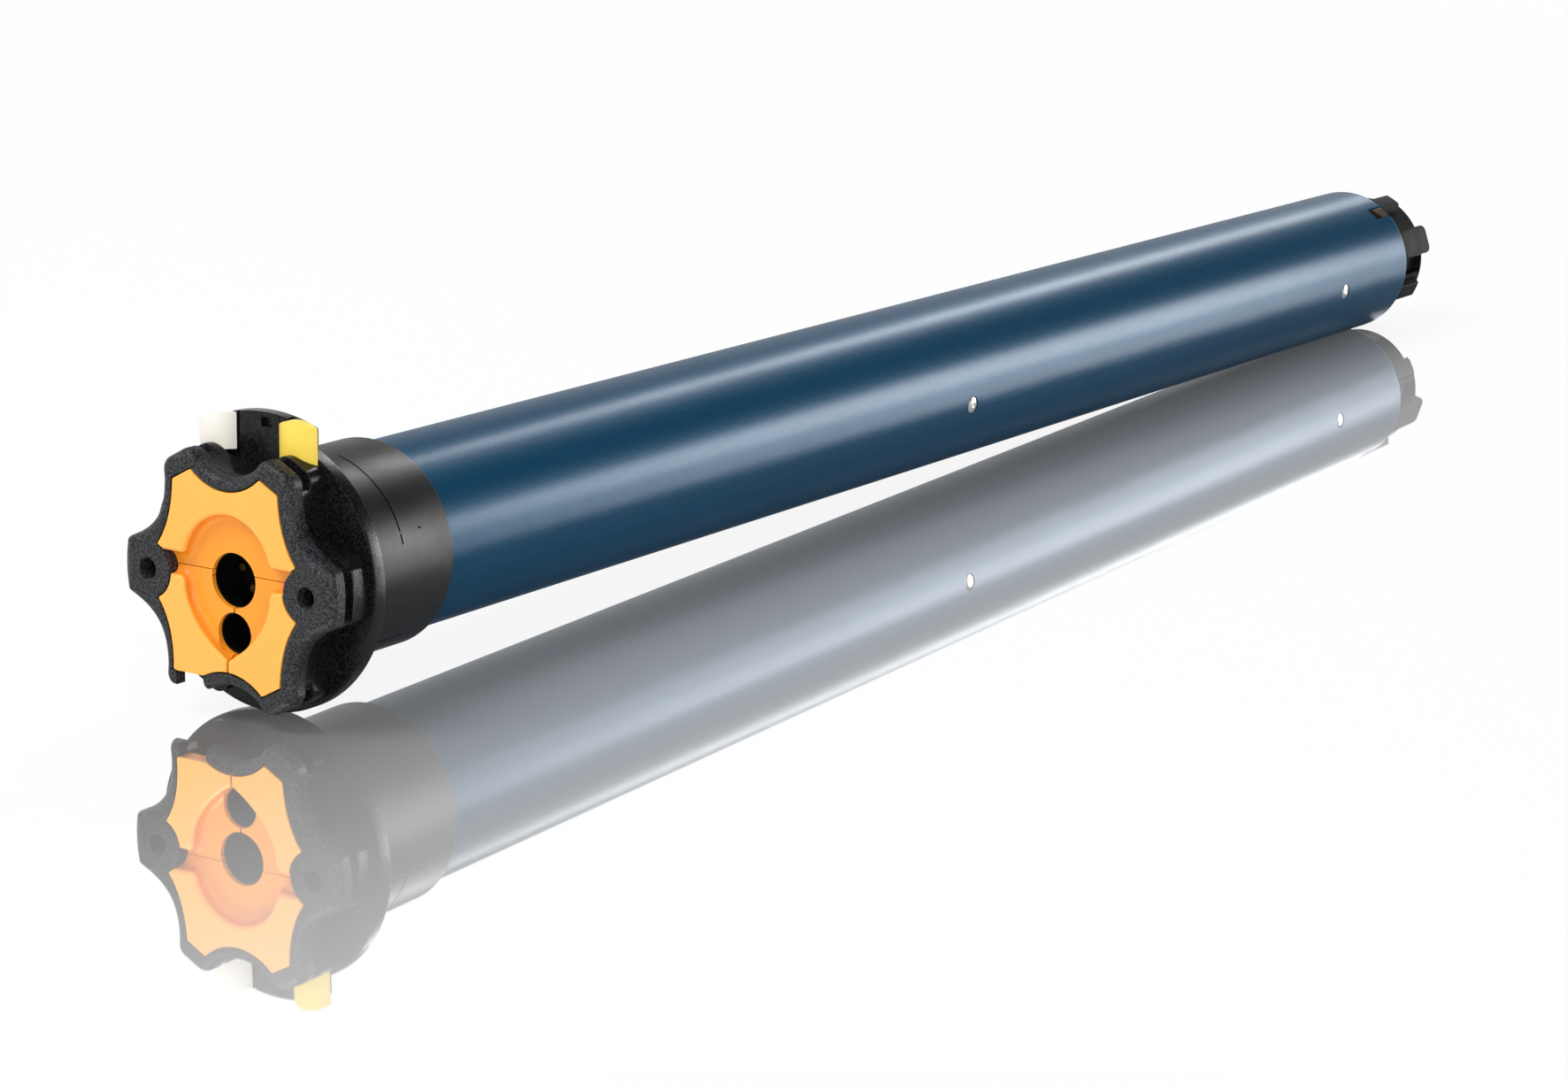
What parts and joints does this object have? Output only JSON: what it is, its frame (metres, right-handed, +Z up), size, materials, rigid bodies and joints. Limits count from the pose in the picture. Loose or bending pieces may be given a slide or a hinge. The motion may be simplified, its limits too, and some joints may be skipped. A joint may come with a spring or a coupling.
{
  "type": "tubular roller blind motor",
  "caption": "Tubular motor for a roller blind: star-shaped mounting head with push buttons, driven crown, painted motor tube and lugged output drive.",
  "frame": {"origin": "middle of the head's front face, between the two fixing holes", "axes": "+Y runs from the head down the tube, +X is to the right seen from the front of the head, +Z is up"},
  "size_m": [0.0674, 0.605, 0.072],
  "materials": {
    "head_plastic": "fine grained, glass filled",
    "cover_plastic": "satin, orange",
    "socket_plastic": "matt black",
    "contact_brass": "bright",
    "white_plastic": "satin, cream white",
    "yellow_plastic": "satin, yellow",
    "spring_steel": "drawn wire",
    "crown_plastic": "satin black",
    "gear_plastic": "natural",
    "frame_plastic": "matt",
    "switch_plastic": "matt",
    "capacitor_can": "plain",
    "seal_rubber": "soft",
    "tube_paint": "metallic petrol blue",
    "rivet_steel": "bright",
    "cast_aluminium": "as cast",
    "bearing_steel": "ground",
    "lamination_steel": "stacked sheets",
    "copper_wire": "enamelled copper",
    "cage_aluminium": "cast",
    "machined_steel": "machined",
    "brake_iron": "plain",
    "brake_lining": "friction lining",
    "bush_bronze": "sintered bronze",
    "cap_plastic": "matt anthracite",
    "drive_plastic": "matt anthracite"
  },
  "bodies": {
    "root": {"head_housing": "head_plastic", "cover_upper": "cover_plastic", "cover_lower_left": "cover_plastic", "cover_lower_right": "cover_plastic", "cable_socket": "socket_plastic", "socket_contacts": "contact_brass", "white_button_spring": "spring_steel", "yellow_button_spring": "spring_steel", "limit_switch_housing": "frame_plastic", "micro_switches": "switch_plastic", "capacitor": "capacitor_can", "capacitor_holder": "frame_plastic", "tube_seal": "seal_rubber", "motor_tube": "tube_paint", "tube_rivets": "rivet_steel", "front_end_shield": "cast_aluminium", "rear_end_shield": "cast_aluminium", "rotor_bearings": "bearing_steel", "stator_core": "lamination_steel", "stator_windings": "copper_wire", "brake_coil": "brake_iron", "ring_gear": "brake_iron", "gearbox_end_housing": "cast_aluminium", "output_bush": "bush_bronze", "end_bearing_cap": "cap_plastic"},
    "white_button": {"white_button": "white_plastic"},
    "yellow_button": {"yellow_button": "yellow_plastic"},
    "crown": {"crown": "crown_plastic"},
    "crown_pinion": {"crown_pinion": "gear_plastic"},
    "cam_shaft": {"cam_shaft": "gear_plastic"},
    "rotor": {"rotor_core": "lamination_steel", "rotor_cage": "cage_aluminium", "rotor_shaft": "machined_steel", "brake_disc": "brake_lining"},
    "brake_armature": {"brake_armature": "machined_steel"},
    "planet_carrier_1": {"planet_carrier_1": "machined_steel"},
    "planet_carrier_2": {"planet_carrier_2": "machined_steel"},
    "output": {"output_carrier": "machined_steel", "output_drive": "drive_plastic", "output_screw": "rivet_steel"},
    "planet_gear_1a": {"planet_gear_1a": "gear_plastic"},
    "planet_gear_1b": {"planet_gear_1b": "gear_plastic"},
    "planet_gear_1c": {"planet_gear_1c": "gear_plastic"},
    "planet_gear_2a": {"planet_gear_2a": "gear_plastic"},
    "planet_gear_2b": {"planet_gear_2b": "gear_plastic"},
    "planet_gear_2c": {"planet_gear_2c": "gear_plastic"},
    "planet_gear_3a": {"planet_gear_3a": "gear_plastic"},
    "planet_gear_3b": {"planet_gear_3b": "gear_plastic"},
    "planet_gear_3c": {"planet_gear_3c": "gear_plastic"}
  },
  "joints": [
    {"name": "crown_turn", "type": "hinge", "parent": "root", "child": "crown", "pos_m": [0, 0.035, 0], "axis": [0, 1, 0], "continuous": true},
    {"name": "crown_pinion_turn", "type": "hinge", "parent": "root", "child": "crown_pinion", "pos_m": [0, 0.022, -0.01875], "axis": [0, 1, 0], "continuous": true},
    {"name": "cam_turn", "type": "hinge", "parent": "root", "child": "cam_shaft", "pos_m": [0, 0.056, 0], "axis": [0, 1, 0], "continuous": true},
    {"name": "white_button_push", "type": "slide", "parent": "root", "child": "white_button", "axis": [0, 0, -1], "range_m": [0, 0.003], "stiffness_N_per_m": 800, "springref_m": -0.001, "deforming": ["white_button_spring"]},
    {"name": "yellow_button_push", "type": "slide", "parent": "root", "child": "yellow_button", "axis": [0, 0, -1], "range_m": [0, 0.0022], "stiffness_N_per_m": 800, "springref_m": -0.001, "deforming": ["yellow_button_spring"]},
    {"name": "rotor_turn", "type": "hinge", "parent": "root", "child": "rotor", "pos_m": [0, 0.356, 0], "axis": [0, 1, 0], "continuous": true},
    {"name": "brake_release", "type": "slide", "parent": "root", "child": "brake_armature", "axis": [0, -1, 0], "range_m": [0, 0.0003], "stiffness_N_per_m": 4000, "springref_m": -0.002},
    {"name": "carrier_1_turn", "type": "hinge", "parent": "root", "child": "planet_carrier_1", "pos_m": [0, 0.468, 0], "axis": [0, 1, 0], "continuous": true},
    {"name": "carrier_2_turn", "type": "hinge", "parent": "root", "child": "planet_carrier_2", "pos_m": [0, 0.49, 0], "axis": [0, 1, 0], "continuous": true},
    {"name": "output_turn", "type": "hinge", "parent": "root", "child": "output", "pos_m": [0, 0.55, 0], "axis": [0, 1, 0], "continuous": true},
    {"name": "planet_1a_spin", "type": "hinge", "parent": "planet_carrier_1", "child": "planet_gear_1a", "pos_m": [0.01238, 0.46, 0], "axis": [0, 1, 0], "continuous": true},
    {"name": "planet_1b_spin", "type": "hinge", "parent": "planet_carrier_1", "child": "planet_gear_1b", "pos_m": [-0.00619, 0.46, 0.01072], "axis": [0, 1, 0], "continuous": true},
    {"name": "planet_1c_spin", "type": "hinge", "parent": "planet_carrier_1", "child": "planet_gear_1c", "pos_m": [-0.00619, 0.46, -0.01072], "axis": [0, 1, 0], "continuous": true},
    {"name": "planet_2a_spin", "type": "hinge", "parent": "planet_carrier_2", "child": "planet_gear_2a", "pos_m": [0.01238, 0.479, 0], "axis": [0, 1, 0], "continuous": true},
    {"name": "planet_2b_spin", "type": "hinge", "parent": "planet_carrier_2", "child": "planet_gear_2b", "pos_m": [-0.00619, 0.479, 0.01072], "axis": [0, 1, 0], "continuous": true},
    {"name": "planet_2c_spin", "type": "hinge", "parent": "planet_carrier_2", "child": "planet_gear_2c", "pos_m": [-0.00619, 0.479, -0.01072], "axis": [0, 1, 0], "continuous": true},
    {"name": "planet_3a_spin", "type": "hinge", "parent": "output", "child": "planet_gear_3a", "pos_m": [0.01238, 0.504, 0], "axis": [0, 1, 0], "continuous": true},
    {"name": "planet_3b_spin", "type": "hinge", "parent": "output", "child": "planet_gear_3b", "pos_m": [-0.00619, 0.504, 0.01072], "axis": [0, 1, 0], "continuous": true},
    {"name": "planet_3c_spin", "type": "hinge", "parent": "output", "child": "planet_gear_3c", "pos_m": [-0.00619, 0.504, -0.01072], "axis": [0, 1, 0], "continuous": true}
  ],
  "couplings": [
    {"joint": "crown_pinion_turn", "follows": "crown_turn", "ratio": 5.1667},
    {"joint": "cam_turn", "follows": "crown_turn", "ratio": -0.98413},
    {"joint": "carrier_1_turn", "follows": "rotor_turn", "ratio": 0.18182},
    {"joint": "carrier_2_turn", "follows": "rotor_turn", "ratio": 0.033058},
    {"joint": "output_turn", "follows": "rotor_turn", "ratio": 0.0060105},
    {"joint": "planet_1a_spin", "follows": "rotor_turn", "ratio": -0.46753},
    {"joint": "planet_1b_spin", "follows": "rotor_turn", "ratio": -0.46753},
    {"joint": "planet_1c_spin", "follows": "rotor_turn", "ratio": -0.46753},
    {"joint": "planet_2a_spin", "follows": "rotor_turn", "ratio": -0.085006},
    {"joint": "planet_2b_spin", "follows": "rotor_turn", "ratio": -0.085006},
    {"joint": "planet_2c_spin", "follows": "rotor_turn", "ratio": -0.085006},
    {"joint": "planet_3a_spin", "follows": "rotor_turn", "ratio": -0.015456},
    {"joint": "planet_3b_spin", "follows": "rotor_turn", "ratio": -0.015456},
    {"joint": "planet_3c_spin", "follows": "rotor_turn", "ratio": -0.015456}
  ]
}
